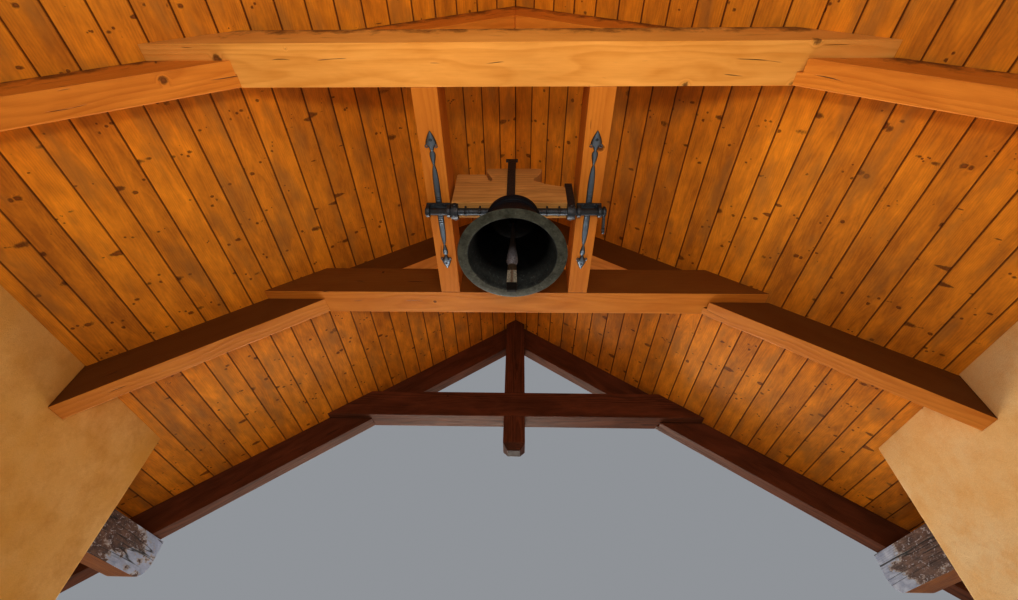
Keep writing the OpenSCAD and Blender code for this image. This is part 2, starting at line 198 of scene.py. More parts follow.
def put(piece, *moves):
    """Moves a piece by one matrix after another and applies its place."""
    for move in moves:
        piece.matrix_world = move @ piece.matrix_world
    take(piece)
    bpy.ops.object.transform_apply(location=True, rotation=True, scale=True)
    return piece


def joined(name, *pieces):
    """Joins pieces into the first one."""
    take(pieces[0])
    for piece in pieces:
        piece.select_set(True)
    bpy.ops.object.join()
    pieces[0].name = pieces[0].data.name = name
    return pieces[0]


def drawn(name, points):
    """A line of edges drawn from point to point, as the start of an outline or a section."""
    piece = start("plane", name, size=0.001, location=points[0])
    shape(piece, ("VERT", everything, "merge", dict(type="CENTER")))
    bpy.ops.object.mode_set(mode="EDIT")
    bpy.ops.mesh.select_mode(type="VERT")
    bpy.ops.mesh.select_all(action="SELECT")
    for near, far in zip(points, points[1:]):
        bpy.ops.mesh.extrude_region_move(TRANSFORM_OT_translate={"value": Vector(far) - Vector(near)})
    bpy.ops.object.mode_set(mode="OBJECT")
    return piece


def turned(name, section, steps, crease=40):
    """A turned or cast round piece: its closed section of radius and height, spun about the upright axis."""
    piece = drawn(name, [(r, 0, z) for r, z in section])
    spin = dict(steps=steps, angle=2 * math.pi, center=(0, 0, 0), axis=(0, 0, 1))
    shape(piece, ("VERT", everything, "spin", spin), MERGE_DOUBLES, FACE_OUTWARDS)
    return smooth(piece, crease)


def slab(name, outline, low_y, high_y):
    """A board cut to an outline across the canopy, and so thick along it."""
    piece = drawn(name, [(x, low_y, z) for x, z in outline + outline[:1]])
    thicken = dict(TRANSFORM_OT_translate={"value": (0, high_y - low_y, 0)})
    return shape(piece, MERGE_DOUBLES, ("EDGE", everything, "edge_face_add", {}),
                 ("FACE", everything, "extrude_region_move", thicken), FACE_OUTWARDS)


def bent_bar(name, centre, radius, bar_r, begin, sweep, axis):
    """A round bar with closed ends, bent about a centre from an angle and through a sweep. The axis lies
    square to y, from which the angle is a quarter turn away."""
    square = Vector((0, 1, 0))
    radial = Vector(axis).cross(square) * math.cos(begin) + square * math.sin(begin)
    heading = Vector(axis).cross(radial).to_track_quat("Z", "Y").to_euler()
    piece = start("circle", name, vertices=10, radius=bar_r, fill_type="NGON",
                  location=Vector(centre) + radial * radius, rotation=heading)
    bend = dict(steps=max(6, int(abs(sweep) * 5)), angle=sweep, center=centre, axis=axis)
    shape(piece, ("FACE", everything, "spin", bend), MERGE_DOUBLES, FACE_OUTWARDS)
    return smooth(piece, 50)


def islands(piece, per_island):
    """Vertex places as an array of islands, for a piece made of equal copies."""
    places = np.empty(len(piece.data.vertices) * 3)
    piece.data.vertices.foreach_get("co", places)
    return places.reshape(-1, per_island, 3)


def put_places(piece, places):
    """Gives a piece its vertex places back."""
    piece.data.vertices.foreach_set("co", places.ravel())
    piece.data.update()


def fit(piece, given, body, slot, *replaced):
    """Gives a finished piece its material, body and the nodes that it stands for. slot is not used."""
    piece.data.materials.clear()
    piece.data.materials.append(given)
    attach(piece, body)
    if replaced:
        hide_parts(*replaced)


# Material helpers

def colour(code):
    """An sRGB hex colour as linear RGBA."""
    parts = [int(code[i:i + 2], 16) / 255 for i in (1, 3, 5)]
    return [c / 12.92 if c <= 0.04045 else ((c + 0.055) / 1.055) ** 2.4 for c in parts] + [1]


def add_to(tree, kind, inputs=(), **settings):
    """Adds a shader node to a tree. Its kind may name an operation after a space. Inputs go by name or place,
    and a node given as one links its first output."""
    kind, _, operation = kind.partition(" ")
    made = tree.nodes.new("ShaderNode" + kind)
    if operation:
        made.operation = operation
    for key, value in settings.items():
        setattr(made, key, value)
    for key, value in (inputs.items() if isinstance(inputs, dict) else enumerate(inputs)):
        if isinstance(value, bpy.types.Node):
            value = value.outputs[0]
        if isinstance(value, bpy.types.NodeSocket):
            tree.links.new(value, made.inputs[key])
        else:
            made.inputs[key].default_value = value
    return made


def material(name, **sockets):
    """A new material, what adds nodes to its tree, and its shader, which gets the values that are the same
    all over."""
    made = bpy.data.materials.new(name)
    made.use_nodes = True
    shader = made.node_tree.nodes["Principled BSDF"]
    for key, value in sockets.items():
        shader.inputs[key.replace("_", " ")].default_value = value
    return made, partial(add_to, made.node_tree), shader


def link(node, shader, socket):
    """Links a node's first output to a socket of the shader."""
    shader.id_data.links.new(node.outputs[0], shader.inputs[socket])


def finish(add, shader, base, rough, height, distance):
    """Links colour, roughness and a bump of a real height in metres to the shader."""
    link(base, shader, "Base Color")
    link(rough, shader, "Roughness")
    link(add("Bump", {"Height": height, "Distance": distance, "Strength": 1.0}), shader, "Normal")


def clouded(add, mask, dark, light, low=0.35, high=0.65):
    """A finish that clouds from one tone to another as a noise runs from low to high."""
    share = add("MapRange", [mask, low, high, 0.0, 1.0])
    return add("MixRGB", [share, colour(dark), colour(light)])


def laid_over(add, base, mask, low, high, most, code):
    """A stain, rust or dust that lies over a base as a mask runs from low to high, up to its most."""
    share = add("MapRange", [mask, low, high, 0.0, most])
    return add("MixRGB", [share, base, colour(code)])


def wood_figure(add, run, a, b, ring, whorl, knot, branches):
    """Figure of a sawn log at metre values: run along it, a and b across it from the pith. ring is a year's
    growth, whorl the distance between rows of knots, knot the half width of the widest for each metre from
    the pith, and branches how close the knots lie round the log. Fibres are drawn 4 mm wide, coarser than the
    real ones, so that they show. Returns growth rings, fibres, stain, knot hearts and knot rims."""
    log = add("CombineXYZ", [run, a, b])
    slow, fibres, stain = (
        add("TexNoise", {"Vector": add("VectorMath MULTIPLY", [log, stretch]), "Scale": 1.0, **grain})
        for stretch, grain in (
            ((1.3, 6.0, 6.0), {"Detail": 2.0}),
            ((9.0, 240.0, 240.0), {"Detail": 3.0, "Roughness": 0.7}),
            ((3.2, 13.0, 13.0), {"Detail": 3.0, "Roughness": 0.62, "Distortion": 0.5})))
    far = add("VectorMath LENGTH", [add("CombineXYZ", [a, b, 0.001])]).outputs["Value"]

    # Knots: branches that grow out from the pith in rows
    cell = add("CombineXYZ", [
        add("Math MULTIPLY", [run, 1 / whorl]),
        add("Math MULTIPLY", [add("Math DIVIDE", [a, far]), branches]),
        add("Math MULTIPLY", [add("Math DIVIDE", [b, far]), branches])])
    knots = add("TexVoronoi", {"Vector": cell, "Scale": 1.0, "Randomness": 0.7})
    girth = add("Math MULTIPLY", [far, 1 / branches])
    off = add("VectorMath SUBTRACT", [cell, knots.outputs["Position"]])
    off = add("VectorMath MULTIPLY", [off, add("CombineXYZ", [whorl, girth, girth])])
    chance = add("SeparateColor", [knots.outputs["Color"]])
    size = add("MapRange", [chance.outputs[0], 0.2, 1.0, 0.003, knot])
    size = add("Math MULTIPLY", [size, far])
    length = add("VectorMath LENGTH", [off]).outputs["Value"]
    near = add("Math DIVIDE", [length, size])
    rough_edge = add("TexNoise", {"Vector": log, "Scale": 110.0, "Detail": 1.0})
    ragged = add("Math ADD", [near, -0.45])
    ragged = add("Math MULTIPLY_ADD", [rough_edge, 0.9, ragged])
    heart = add("MapRange", [ragged, 0.75, 1.05, 1.0, 0.0], interpolation_type="SMOOTHSTEP")
    from_rim = add("Math ABSOLUTE", [add("Math SUBTRACT", [ragged, 1.0])])
    rim = add("MapRange", [from_rim, 0.05, 0.5, 1.0, 0.0])

    # Growth rings, pushed aside by the knots
    pushed = add("MapRange", [near, 0.4, 2.6, 1.7 * ring, 0.0], interpolation_type="SMOOTHSTEP")
    bent = add("Math ADD", [far, pushed])
    bent = add("Math MULTIPLY_ADD", [slow, 0.05, bent])
    year = add("Math FRACT", [add("Math MULTIPLY", [bent, 1 / ring])])
    rings = add("Math MULTIPLY", [
        add("MapRange", [year, 0.25, 0.85, 0.0, 1.0], interpolation_type="SMOOTHSTEP"),
        add("MapRange", [year, 0.85, 1.0, 1.0, 0.0])])
    return rings, fibres, stain, heart, rim


def wood_colour(add, tone, tones, heart, rim):
    """Wood between a light and a dark tone, with red-brown knots in dark rims."""
    light, dark, knot_tone = tones
    base = add("MixRGB", [tone, colour(dark), colour(light)])
    base = add("MixRGB", [add("Math MULTIPLY", [heart, 0.7]), base, colour(knot_tone)])
    return add("MixRGB", [add("Math MULTIPLY", [rim, 0.6]), base, colour("#2a1006")])


def drying_cracks(add, run, a, b):
    """Broken cracks along a timber, 55 mm apart and about 2 mm wide, each only a hand or two long."""
    wander = add("TexNoise", {"Vector": add("CombineXYZ", [
        add("Math MULTIPLY", [run, 2.2]), a, b]), "Scale": 1.0, "Detail": 2.0})
    place = add("Math MULTIPLY_ADD", [b, 0.8, a])
    place = add("Math MULTIPLY", [place, 18.0])
    place = add("Math MULTIPLY_ADD", [wander, 1.5, place])
    line = add("Math PINGPONG", [place, 0.5])
    line = add("MapRange", [line, 0.008, 0.03, 1.0, 0.0])
    row = add("Math FLOOR", [add("Math ADD", [place, 0.5])])
    broken = add("TexNoise", {"Vector": add("CombineXYZ", [run, row, 0.0]), "Scale": 6.5, "Detail": 1.0})
    broken = add("MapRange", [broken, 0.62, 0.70, 0.0, 1.0])
    return add("Math MULTIPLY", [line, broken])


def timber(name, tones, direction, pith, contrast=0.9, gloss=0.42, sheen=0.22, wane=None, painted_rear_shade=0.0,
           end_stain=0.0):
    """Sawn and stained spruce or oak: a satin face where growth rings, fibres, knots and drying cracks run
    along the piece, as in a log whose pith lies at a place of its own beside each timber. Growth rings are
    drawn 9 mm wide, about twice the real ones, so that they still show at this distance. wane is the height
    of the upper arris, where ragged bark-brown patches are left. The two settings after it darken faces:
    those turned to the rear with painted shade, and those turned down partly because the end grain of a foot
    draws in more stain and partly with painted shade."""
    made, add, shader = material(name, Specular_IOR_Level=sheen)
    coords = add("TexCoord")
    x, y, z = add("SeparateXYZ", [coords.outputs["Object"]]).outputs
    side = add("Math ABSOLUTE", [x])
    hand = add("Math SIGN", [x])
    bay = add("Math WRAP", [add("Math ADD", [y, TRUSS_STEP / 2]), TRUSS_STEP / 2, -TRUSS_STEP / 2])
    number = add("Math FLOOR", [add("Math MULTIPLY_ADD", [y, 1 / TRUSS_STEP, 2.0])])
    if direction == "x":
        run, a, b = add("Math MULTIPLY_ADD", [number, 3.1, x]), bay, z
    elif direction == "y":
        run, a, b = add("Math MULTIPLY_ADD", [hand, 2.3, y]), side, z
    elif direction == "z":
        gable = add("Math SIGN", [y])
        run, a = add("Math MULTIPLY_ADD", [gable, 1.9, z]), x
        b = add("Math ABSOLUTE", [y])
    else:
        run = add("Math MULTIPLY", [z, -math.sin(PITCH)])
        run = add("Math MULTIPLY_ADD", [side, math.cos(PITCH), run])
        run = add("Math MULTIPLY_ADD", [hand, 3.7, run])
        run = add("Math MULTIPLY_ADD", [number, 5.3, run])
        a = bay
        b = add("Math MULTIPLY", [z, math.cos(PITCH)])
        b = add("Math MULTIPLY_ADD", [side, math.sin(PITCH), b])
    upper = b
    a = add("Math SUBTRACT", [a, pith[0]])
    b = add("Math SUBTRACT", [b, pith[1]])
    rings, fibres, stain, heart, rim = wood_figure(
        add, run, a, b, ring=0.009, whorl=0.43, knot=0.062, branches=2.0)
    crack = drying_cracks(add, run, a, b)
    tone = add("Math MULTIPLY_ADD", [stain, contrast * 1.5, 0.5 - contrast * 0.75 + 0.07])
    tone = add("Math MULTIPLY_ADD", [rings, -0.34 * contrast, tone])
    tone = add("Math ADD", [tone, -0.25 * contrast])
    tone = add("Math MULTIPLY_ADD", [fibres, 0.5 * contrast, tone], use_clamp=True)
    base = wood_colour(add, tone, tones, heart, rim)
    base = add("MixRGB", [add("Math MULTIPLY", [crack, 0.8]), base, colour("#1a0d06")])
    if wane:
        bark = add("TexNoise", {
            "Vector": add("CombineXYZ", [run, a, b]), "Scale": 11.0, "Detail": 5.0, "Roughness": 0.68})
        ragged = add("Math MULTIPLY_ADD", [bark, 0.32, upper])
        base = laid_over(add, base, ragged, wane + 0.090, wane + 0.165, 0.75, "#4e2c14")
    # Painted shade: faces turned to the rear are darkened to a deep brown
    if painted_rear_shade:
        rearward = add("SeparateXYZ", [coords.outputs["Normal"]]).outputs[1]
        base = laid_over(add, base, rearward, -0.5, -0.9, painted_rear_shade, "#3c1c08")
    # Faces turned down darken: partly the end grain of a foot drawing in more stain, partly painted shade
    if end_stain:
        downward = add("SeparateXYZ", [coords.outputs["Normal"]]).outputs[2]
        base = laid_over(add, base, downward, -0.4, -0.9, end_stain, "#1c0c06")
    rough = add("MapRange", [fibres, 0.3, 0.7, gloss, gloss + 0.2])
    height = add("Math MULTIPLY", [rings, 0.3])
    height = add("Math MULTIPLY_ADD", [fibres, 0.6, height])
    height = add("Math MULTIPLY_ADD", [crack, -3.0, height])
    finish(add, shader, base, rough, height, 0.0012)
    return made


# Timbers. Each one's tones are light, dark and knot

# The third truss's amber tones are a darker copy of the honey stain: painted shade on the truss that lies
# further in
SHADED_AMBER = ("#dc9840", "#be741e", "#4c200c")
AGED = ("#7e4c32", "#482818", "#1c0e06")
COLLAR_PITH = (0.03, 3.61)
RAFTER_TOP = RAFTER_APEX * math.cos(PITCH) + RAFTER_DEPTH
RAFTER_PITH = (-0.03, RAFTER_APEX * math.cos(PITCH) + 0.20)
weathered = partial(timber, tones=AGED, gloss=0.5, sheen=0.13)

pale_x = timber("pale_spruce_collar", ("#f4bc6a", "#d0903c", "#5a2810"), "x", COLLAR_PITH, contrast=0.7,
                wane=COLLAR_Z + COLLAR_H)
amber_x = timber("amber_spruce_collar", SHADED_AMBER, "x", COLLAR_PITH, contrast=0.7, painted_rear_shade=0.72)
honey_y = timber("stained_spruce_bearers", ("#da943c", "#b97020", "#5a2810"), "y",
                 (BEARER_X + 0.07, COLLAR_Z + COLLAR_H), contrast=0.6)
honey_slope = timber("stained_spruce_rafters", ("#ea9e40", "#c67822", "#5a2810"), "slope", RAFTER_PITH,
                     contrast=0.8, wane=RAFTER_TOP)
amber_slope = timber("amber_spruce_rafters_painted_shade", SHADED_AMBER, "slope", RAFTER_PITH, contrast=0.8, painted_rear_shade=0.8)
dark_x = weathered("weathered_spruce_collars", direction="x", pith=COLLAR_PITH)
dark_z = weathered("weathered_spruce_king_posts", direction="z", pith=(0.03, 1.80), end_stain=0.85)
dark_slope = weathered("weathered_spruce_rafters", direction="slope", pith=RAFTER_PITH)
verge = timber("stained_spruce_verge_boards", ("#9a5c2a", "#6a3816", "#34180a"), "slope", (0.0, 3.3))
oak = timber("oiled_oak_yoke", ("#d8a866", "#986c38", "#3c2210"), "x", (0.02, 3.30), contrast=0.65,
             gloss=0.5, sheen=0.16)


def soffit():
    """Varnished spruce boards, tongued and grooved, 116 mm apart down the slope: warm orange, with a soft
    gloss. Each board has its own place in the log, so figure, knots and tone change from board to board.
    Growth rings are drawn 7 mm wide, about twice the real ones, so that they still show at this distance."""
    made, add, shader = material("varnished_spruce_soffit_boards", Specular_IOR_Level=0.22)
    x, y, _ = add("SeparateXYZ", [add("TexCoord").outputs["Object"]]).outputs
    down = add("Math MULTIPLY", [add("Math ABSOLUTE", [x]), RISE / BOARD_COVER])
    number = add("Math FLOOR", [down])
    number = add("Math MULTIPLY_ADD", [add("Math SIGN", [x]), 57.3, number])
    own = add("TexWhiteNoise", {"W": number}, noise_dimensions="1D")
    first, second, _ = add("SeparateColor", [own.outputs["Color"]]).outputs
    across = add("Math MULTIPLY_ADD", [add("Math FRACT", [down]), BOARD_COVER, -BOARD_COVER / 2])
    run = add("Math MULTIPLY_ADD", [first, 31.0, y])
    a = add("Math MULTIPLY_ADD", [add("Math SUBTRACT", [second, 0.5]), 0.07, across])
    depth = add("TexNoise", {"Vector": add("CombineXYZ", [run, 0.0, 0.0]), "Scale": 0.8, "Detail": 1.0})
    b = add("Math MULTIPLY_ADD", [depth, 0.16, -0.05])
    rings, fibres, stain, heart, rim = wood_figure(
        add, run, a, b, ring=0.007, whorl=0.22, knot=0.18, branches=2.6)
    broad = add("Math MULTIPLY", [down, 0.32])
    patches = add("TexNoise", {
        "Vector": add("CombineXYZ", [run, broad, first]), "Scale": 6.5, "Detail": 4.0, "Roughness": 0.66})
    tone = add("Math MULTIPLY_ADD", [patches, 1.5, -0.85])
    tone = add("Math MULTIPLY_ADD", [stain, 0.75, tone])
    tone = add("Math MULTIPLY_ADD", [own.outputs["Value"], 0.42, tone])
    tone = add("Math MULTIPLY_ADD", [rings, -0.13, tone])
    tone = add("Math ADD", [tone, -0.09])
    tone = add("Math MULTIPLY_ADD", [fibres, 0.26, tone], use_clamp=True)
    base = wood_colour(add, tone, ("#faaa2e", "#b67422", "#6a2608"), heart, rim)
    greyed = add("TexNoise", {
        "Vector": add("CombineXYZ", [run, broad, second]), "Scale": 3.6, "Detail": 3.0})
    base = laid_over(add, base, greyed, 0.51, 0.67, 0.48, "#a0743e")
    from_groove = add("Math PINGPONG", [down, 0.5])
    base = laid_over(add, base, from_groove, 0.045, 0.012, 0.9, "#521e08")
    rough = add("MapRange", [fibres, 0.3, 0.7, 0.42, 0.6])
    height = add("Math MULTIPLY", [rings, 0.3])
    height = add("Math MULTIPLY_ADD", [fibres, 0.5, height])
    finish(add, shader, base, rough, height, 0.0006)
    return made


def render_coat(name, low, high, blotch):
    """Trowelled lime render with an ochre wash: matt, with a cloudy tone, fine sand and shallow trowel
    waves."""
    made, add, shader = material(name, Specular_IOR_Level=0.2)
    place = add("TexCoord").outputs["Object"]
    clouds = add("TexNoise", {"Vector": place, "Scale": 2.2, "Detail": 6.0, "Roughness": 0.6})
    blotches = add("TexNoise", {"Vector": place, "Scale": 9.0, "Detail": 5.0, "Roughness": 0.65})
    sand = add("TexNoise", {"Vector": place, "Scale": 420.0, "Detail": 3.0})
    trowel = add("TexNoise", {"Vector": place, "Scale": 14.0, "Detail": 4.0, "Distortion": 0.6})
    base = clouded(add, clouds, low, high)
    base = laid_over(add, base, blotches, 0.45, 0.7, 0.55, blotch)
    base = laid_over(add, base, sand, 0.3, 0.7, 0.16, "#8a6030")
    rough = add("MapRange", [blotches, 0.3, 0.7, 0.82, 0.95])
    height = add("Math MULTIPLY_ADD", [trowel, 2.2, sand])
    finish(add, shader, base, rough, height, 0.0016)
    return made


def peeling_paint():
    """Weathered spruce under blue-grey paint: dull and flaky. The paint has come off the inner faces beside
    the wall and holds in one sheet at the ends, and the underside is bare orange wood."""
    made = timber("peeling_paint_on_spruce", ("#b47630", "#764018", "#24120a"), "y", (2.26, 2.40))
    tree = made.node_tree
    add = partial(add_to, tree)
    shader = tree.nodes["Principled BSDF"]
    bare = shader.inputs["Base Color"].links[0].from_socket
    coords = add("TexCoord")
    x, y, z = add("SeparateXYZ", [coords.outputs["Object"]]).outputs
    stretched = add("Mapping", {"Vector": coords.outputs["Object"], "Scale": (1.0, 0.5, 1.0)})
    flakes = add("TexNoise", {"Vector": stretched, "Scale": 34.0, "Detail": 7.0, "Roughness": 0.7})
    large = add("TexNoise", {"Vector": stretched, "Scale": 7.0, "Detail": 2.0})
    to_end = add("MapRange", [add("Math ABSOLUTE", [y]), 1.54, 1.82, -0.18, 0.16])
    held = add("Math MULTIPLY_ADD", [flakes, 0.5, to_end])
    held = add("Math MULTIPLY_ADD", [large, 0.9, held])
    sideward = add("SeparateXYZ", [coords.outputs["Normal"]]).outputs[0]
    side_face = add("MapRange", [add("Math ABSOLUTE", [sideward]), 0.6, 0.8, 0.0, 1.0])
    left_on = add("MapRange", [held, 0.70, 0.72, 0.0, 1.0])
    checks = add("TexNoise", {"Vector": add("CombineXYZ", [
        x, add("Math MULTIPLY", [y, 0.7]), add("Math MULTIPLY", [z, 17.0])]),
        "Scale": 1.0, "Detail": 2.0})
    crack = add("Math ABSOLUTE", [add("Math SUBTRACT", [checks, 0.5])])
    crack = add("MapRange", [crack, 0.0, 0.014, 1.0, 0.0])
    bits = add("TexNoise", {
        "Vector": stretched, "Scale": 62.0, "Detail": 4.0, "Roughness": 0.6, "Distortion": 1.2})
    grey = clouded(add, flakes, "#4e3830", "#7e6050", 0.4)
    grey = laid_over(add, grey, bits, 0.58, 0.62, 0.8, "#aeaab0")
    grey = laid_over(add, grey, held, 0.66, 0.70, 1.0, "#b4aeac")
    paint = clouded(add, flakes, "#8c98b4", "#b6c2d6")
    flaked = add("MixRGB", [left_on, grey, paint])
    flaked = add("MixRGB", [crack, flaked, colour("#1e1614")])
    link(add("MixRGB", [side_face, bare, flaked]), shader, "Base Color")
    raised = add("Math MULTIPLY_ADD", [crack, -1.0, left_on])
    raised = add("Math MULTIPLY", [raised, side_face])
    step = add("Bump", {"Height": raised, "Distance": 0.0012, "Strength": 1.0, "Normal": tree.nodes["Bump"]})
    link(step, shader, "Normal")
    return made


def iron(name, crown):
    """Forged iron, blackened and waxed: hammer marks, a dull blue-black skin and thin rust in the hollows,
    with a
    painted reflection: a lighter crown tone on faces that turn down to the pale floor."""
    made, add, shader = material(name, Metallic=0.7)
    coords = add("TexCoord")
    place = coords.outputs["Object"]
    downward = add("SeparateXYZ", [coords.outputs["Normal"]]).outputs[2]
    hammer = add("TexNoise", {"Vector": place, "Scale": 60.0, "Detail": 2.0})
    pits = add("TexNoise", {"Vector": place, "Scale": 320.0, "Detail": 4.0})
    base = clouded(add, pits, "#2c2f34", "#4c5056")
    base = laid_over(add, base, hammer, 0.56, 0.75, 0.6, "#4a2c1c")
    # Painted reflection: faces that turn down take the lighter crown tone
    base = laid_over(add, base, downward, -0.72, -0.99, 0.8, crown)
    rough = add("MapRange", [pits, 0.3, 0.7, 0.32, 0.5])
    height = add("Math MULTIPLY_ADD", [hammer, 2.0, pits])
    finish(add, shader, base, rough, height, 0.0012)
    return made


def clapper_iron():
    """Forged clapper: brown-black bar, blue-grey worn club, a rust-brown joint darkened partly by painted
    shade, flight rubbed to a bright grey with a rusty middle, and a tarred tip."""
    made, add, shader = material("rubbed_wrought_iron", Metallic=0.3)
    place = add("TexCoord").outputs["Object"]
    x, _, z = add("SeparateXYZ", [place]).outputs
    pits = add("TexNoise", {"Vector": place, "Scale": 140.0, "Detail": 5.0, "Roughness": 0.65})
    bar, club, joint, flight = (clouded(add, pits, low, high) for low, high in (
        ("#241a18", "#40322c"), ("#4a464c", "#78767c"), ("#32261a", "#4e3e2a"), ("#6e6a62", "#a8a698")))
    flight = laid_over(add, flight, add("Math ABSOLUTE", [x]), 0.008, 0.001, 0.75, "#5c3c20")
    base = bar
    # The joint's darker tone is partly painted shade in the waist under the club
    for zone, above, below in ((club, BALL_Z + 0.07, BALL_Z + 0.02),
                               (joint, BALL_Z - 0.038, BALL_Z - 0.043),
                               (flight, JOINT_END_Z + 0.002, JOINT_END_Z - 0.002)):
        base = add("MixRGB", [add("MapRange", [z, above, below, 0.0, 1.0]), base, zone])
    base = laid_over(add, base, z, FLIGHT_END_Z + 0.044, FLIGHT_END_Z + 0.040, 1.0, "#0d0a08")
    rough = add("MapRange", [pits, 0.3, 0.7, 0.45, 0.65])
    finish(add, shader, base, rough, pits, 0.0008)
    return made


def bronze(name, low, high, worn_low, worn_high, metallic, sheen):
    """Cast bell bronze under a thin patina: nearly black, with a cloudy tone, fine casting grain and a worn
    grey-green lip."""
    made, add, shader = material(name, Metallic=metallic, Specular_IOR_Level=sheen)
    place = add("TexCoord").outputs["Object"]
    height_z = add("SeparateXYZ", [place]).outputs[2]
    clouds = add("TexNoise", {"Vector": place, "Scale": 24.0, "Detail": 6.0, "Roughness": 0.68})
    specks = add("TexNoise", {"Vector": place, "Scale": 95.0, "Detail": 5.0, "Roughness": 0.7})
    cast = add("TexNoise", {"Vector": place, "Scale": 190.0, "Detail": 4.0})
    ragged = add("Math MULTIPLY_ADD", [clouds, 0.03, height_z])
    lip = add("MapRange", [ragged, MOUTH_Z + 0.060, MOUTH_Z + 0.110, 1.0, 0.0])
    worn = clouded(add, clouds, worn_low, worn_high)
    worn = laid_over(add, worn, specks, 0.56, 0.72, 0.45, "#767e7a")
    worn = laid_over(add, worn, specks, 0.44, 0.30, 0.7, "#1c1a16")
    base = add("MixRGB", [lip, clouded(add, clouds, low, high), worn])
    rough = add("MapRange", [clouds, 0.3, 0.7, 0.40, 0.60])
    height = add("Math MULTIPLY_ADD", [specks, 1.5, cast])
    finish(add, shader, base, rough, height, 0.0006)
    return made


def clay():
    """Fired clay plain tiles: matt and sanded. The tone changes tile by tile, with some dark weathering."""
    made, add, shader = material("fired_clay_tiles", Specular_IOR_Level=0.25)
    place = add("TexCoord").outputs["Object"]
    x, y, _ = add("SeparateXYZ", [place]).outputs
    row = add("Math FLOOR", [add("Math MULTIPLY", [add("Math ABSOLUTE", [x]), RISE / TILE_GAUGE])])
    column = add("Math MULTIPLY_ADD", [y, 1 / TILE_W, add("Math MULTIPLY", [row, 0.5])])
    column = add("Math FLOOR", [column])
    own = add("TexWhiteNoise", {"Vector": add("CombineXYZ", [row, column, 0.0])}, noise_dimensions="3D")
    stain = add("TexNoise", {"Vector": place, "Scale": 3.0, "Detail": 6.0, "Roughness": 0.65})
    sand = add("TexNoise", {"Vector": place, "Scale": 260.0, "Detail": 3.0})
    base = add("MixRGB", [own.outputs["Value"], colour("#80523e"), colour("#a87258")])
    base = laid_over(add, base, stain, 0.5, 0.72, 0.6, "#5c4a40")
    base = laid_over(add, base, sand, 0.35, 0.65, 0.25, "#684030")
    rough = add("MapRange", [sand, 0.3, 0.7, 0.7, 0.9])
    finish(add, shader, base, rough, sand, 0.0008)
    return made


def plain(name, low, high, scale, rough_low, rough_high, distance):
    """A fine mottled matt finish, for battens and mortar."""
    made, add, shader = material(name, Specular_IOR_Level=0.25)
    place = add("TexCoord").outputs["Object"]
    mottle = add("TexNoise", {"Vector": place, "Scale": scale, "Detail": 6.0, "Roughness": 0.65})
    rough = add("MapRange", [mottle, 0.3, 0.7, rough_low, rough_high])
    finish(add, shader, clouded(add, mottle, low, high), rough, mottle, distance)
    return made


def pale_floor():
    """Matt pale studio floor, faintly cloudy."""
    made, add, shader = material("pale_studio_floor", Roughness=0.9)
    clouds = add("TexNoise", {"Vector": add("TexCoord").outputs["Object"], "Scale": 0.8, "Detail": 2.0})
    link(add("MixRGB", [clouds, colour("#d8d5cf"), colour("#e0ddd8")]), shader, "Base Color")
    return made


soffit_boards = soffit()
ochre_render = render_coat("ochre_lime_render", "#e6b45c", "#f2ca84", "#d49c4c")
# The right wall's render is a paler copy of the left's: painted light, for the brighter light on that wall
painted_light_render = render_coat("pale_ochre_lime_render", "#fed896", "#fee6b6", "#f4c67e")
painted = peeling_paint()
wrought_iron = iron("blackened_wrought_iron", "#4a525c")
# The straps' crown tone is a bright blue-grey: a painted highlight on their domed faces
strap_iron = iron("wrought_iron_painted_highlight", "#78889a")
rubbed_iron = clapper_iron()
bell_bronze = bronze("aged_bell_bronze", "#0a0c12", "#161b26", "#34362e", "#545850",
                     metallic=0.05, sheen=0.14)
# A near-black copy of the bronze for the bell's inside: painted shade
bell_inner_shade = bronze("bell_bronze_painted_inner_shade", "#060708", "#0d0e0f", "#2a2d2e", "#3c4040",
                   metallic=0.0, sheen=0.15)
clay_tiles = clay()
lime_mortar = plain("lime_mortar", "#8a8070", "#aaa290", 60.0, 0.85, 0.95, 0.0015)
sawn_battens = plain("sawn_softwood_battens", "#7a5a3a", "#9a7850", 35.0, 0.7, 0.85, 0.0006)

# Carried-over nodes keep their shape: their arrises are eased and they get their finish

WALL_EASE = 0.006
TIMBER_EASE = 0.004
VERGE_EASE = 0.003
GUDGEON_EASE = 0.002
IRON_EASE = 0.0015
SHARP = 28


def ease(node, given, width):
    """Gives a CAD node its finish, and rounds its sharp edges by a real width."""
    piece = nodes[node]
    piece.data.materials.clear()
    piece.data.materials.append(given)
    weld = piece.modifiers.new("weld", "WELD")
    weld.merge_threshold = MERGE
    round_edges = piece.modifiers.new("ease", "BEVEL")
    round_edges.width = width
    round_edges.segments = 2
    round_edges.limit_method = "ANGLE"
    round_edges.angle_limit = math.radians(SHARP)


for side in SIDES:
    ease(f"wall_{side}", ochre_render if side == "left" else painted_light_render, WALL_EASE)
    ease(f"wall_plate_{side}", painted, WALL_EASE)
    ease(f"bearer_{side}", honey_y, TIMBER_EASE)
    ease(f"bearing_{side}", wrought_iron, IRON_EASE)
    ease(f"gudgeon_{side}", wrought_iron, GUDGEON_EASE)
    for end in ("rear", "front"):
        ease(f"verge_board_{side}_{end}", verge, VERGE_EASE)
    for truss, given in enumerate((dark_slope, honey_slope, amber_slope, dark_slope), 1):
        ease(f"rafter_{side}_{truss}", given, TIMBER_EASE)
for truss, given in enumerate((dark_x, pale_x, amber_x, dark_x), 1):
    ease(f"collar_{truss}", given, TIMBER_EASE)
for truss in (1, 4):
    ease(f"king_post_{truss}", dark_z, TIMBER_EASE)
for name in ("hanger_rear", "hanger_front", "rope_lever"):
    ease(name, wrought_iron, IRON_EASE)

# Soffit boards, modelled once and laid down the slope from the ridge

